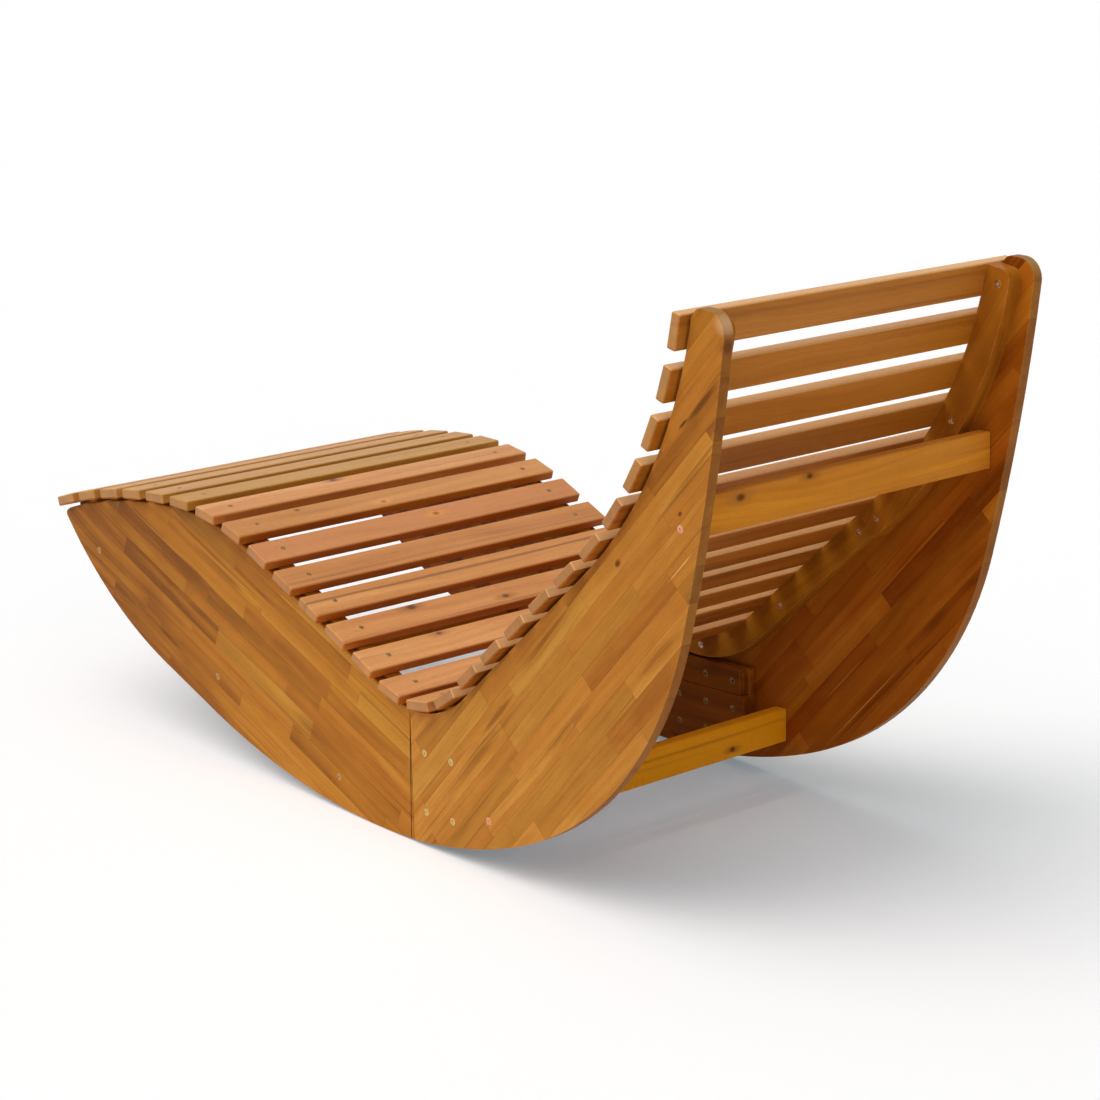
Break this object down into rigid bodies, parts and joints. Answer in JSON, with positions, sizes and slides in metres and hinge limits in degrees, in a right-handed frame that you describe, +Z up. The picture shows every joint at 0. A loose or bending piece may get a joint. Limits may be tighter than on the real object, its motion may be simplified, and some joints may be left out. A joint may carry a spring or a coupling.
{
  "type": "sun lounger",
  "caption": "Rocking sun lounger: a curved bed of wooden slats on two side panels whose lower edges are rockers, tied by crossbars and screwed joints.",
  "frame": {"origin": "on the floor, under the middle of the bounding box, with the lounger at rest on its rockers", "axes": "+X from the foot end to the head end, +Y across, towards the right-hand side of a person lying on it, +Z up"},
  "size_m": [1.4472, 0.6, 0.8176],
  "materials": {
    "slat_wood": "oiled, satin, light orange brown hardwood slats with fine straight grain",
    "panel_wood": "oiled, satin, edge-glued orange brown hardwood staves with varied tones",
    "rail_wood": "oiled, satin, mid brown hardwood",
    "splice_wood": "oiled, satin, dark red brown hardwood",
    "bar_wood": "oiled, satin, amber hardwood with straight grain",
    "slat_screw": "dull plated, countersunk, hexagon socket",
    "copper_screw": "copper coloured plating, countersunk, hexagon socket",
    "brass_screw": "yellow brass plating, countersunk, hexagon socket"
  },
  "bodies": {
    "root": {"leg_slat_1": "slat_wood", "leg_slat_2": "slat_wood", "leg_slat_3": "slat_wood", "leg_slat_4": "slat_wood", "leg_slat_5": "slat_wood", "seat_slat_1": "slat_wood", "seat_slat_2": "slat_wood", "seat_slat_3": "slat_wood", "seat_slat_4": "slat_wood", "seat_slat_5": "slat_wood", "seat_slat_6": "slat_wood", "seat_slat_7": "slat_wood", "seat_slat_8": "slat_wood", "seat_slat_9": "slat_wood", "seat_slat_10": "slat_wood", "back_slat_1": "slat_wood", "back_slat_2": "slat_wood", "back_slat_3": "slat_wood", "back_slat_4": "slat_wood", "back_slat_5": "slat_wood", "back_slat_6": "slat_wood", "back_slat_7": "slat_wood", "back_slat_8": "slat_wood", "back_slat_9": "slat_wood", "back_slat_10": "slat_wood", "back_slat_11": "slat_wood", "back_slat_12": "slat_wood", "front_panel_left": "panel_wood", "rear_panel_left": "panel_wood", "shin_rail_left": "rail_wood", "thigh_rail_left": "rail_wood", "seat_rail_left": "rail_wood", "back_rail_left": "rail_wood", "splice_board_left": "splice_wood", "upper_cleat_left": "splice_wood", "lower_cleat_left": "splice_wood", "front_panel_right": "panel_wood", "rear_panel_right": "panel_wood", "shin_rail_right": "rail_wood", "thigh_rail_right": "rail_wood", "seat_rail_right": "rail_wood", "back_rail_right": "rail_wood", "splice_board_right": "splice_wood", "upper_cleat_right": "splice_wood", "lower_cleat_right": "splice_wood", "foot_crossbar": "bar_wood", "knee_crossbar": "bar_wood", "seat_front_crossbar": "bar_wood", "seat_rear_crossbar": "bar_wood", "back_crossbar": "bar_wood", "slat_screws": "slat_screw", "rail_screws": "copper_screw", "crossbar_screws": "copper_screw", "splice_bolts": "brass_screw", "splice_nuts": "brass_screw", "splice_screws": "brass_screw"}
  },
  "joints": []
}
